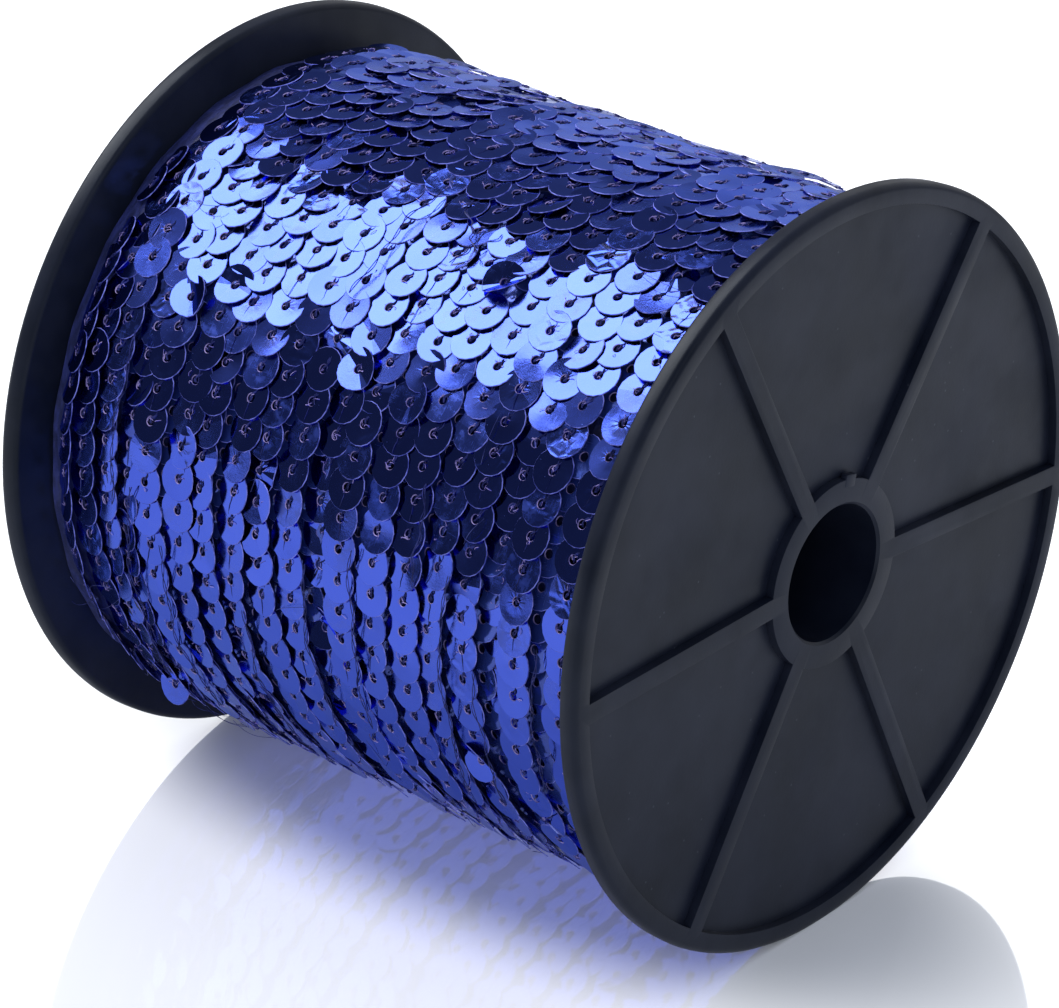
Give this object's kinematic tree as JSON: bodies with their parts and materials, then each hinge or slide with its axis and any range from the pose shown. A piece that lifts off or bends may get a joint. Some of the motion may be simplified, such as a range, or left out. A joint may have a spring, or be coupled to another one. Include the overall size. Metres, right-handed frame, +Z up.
{
  "type": "sequin trim on a reel",
  "caption": "Flat sequin trim wound full on a round plastic reel with raised rims, radial ribs and a through bore, lying on its rims.",
  "frame": {"origin": "on the surface that the reel lies on, under the middle of the reel", "axes": "+X along the reel's axis towards the near flange, +Z up"},
  "size_m": [0.096, 0.1, 0.0996],
  "materials": {
    "reel_plastic": "satin moulded plastic",
    "sequin_film": "metallic blue plastic film with navy thread"
  },
  "bodies": {
    "root": {"flange_near": "reel_plastic", "flange_far": "reel_plastic", "hub_tube": "reel_plastic", "sequin_winding": "sequin_film"}
  },
  "joints": []
}
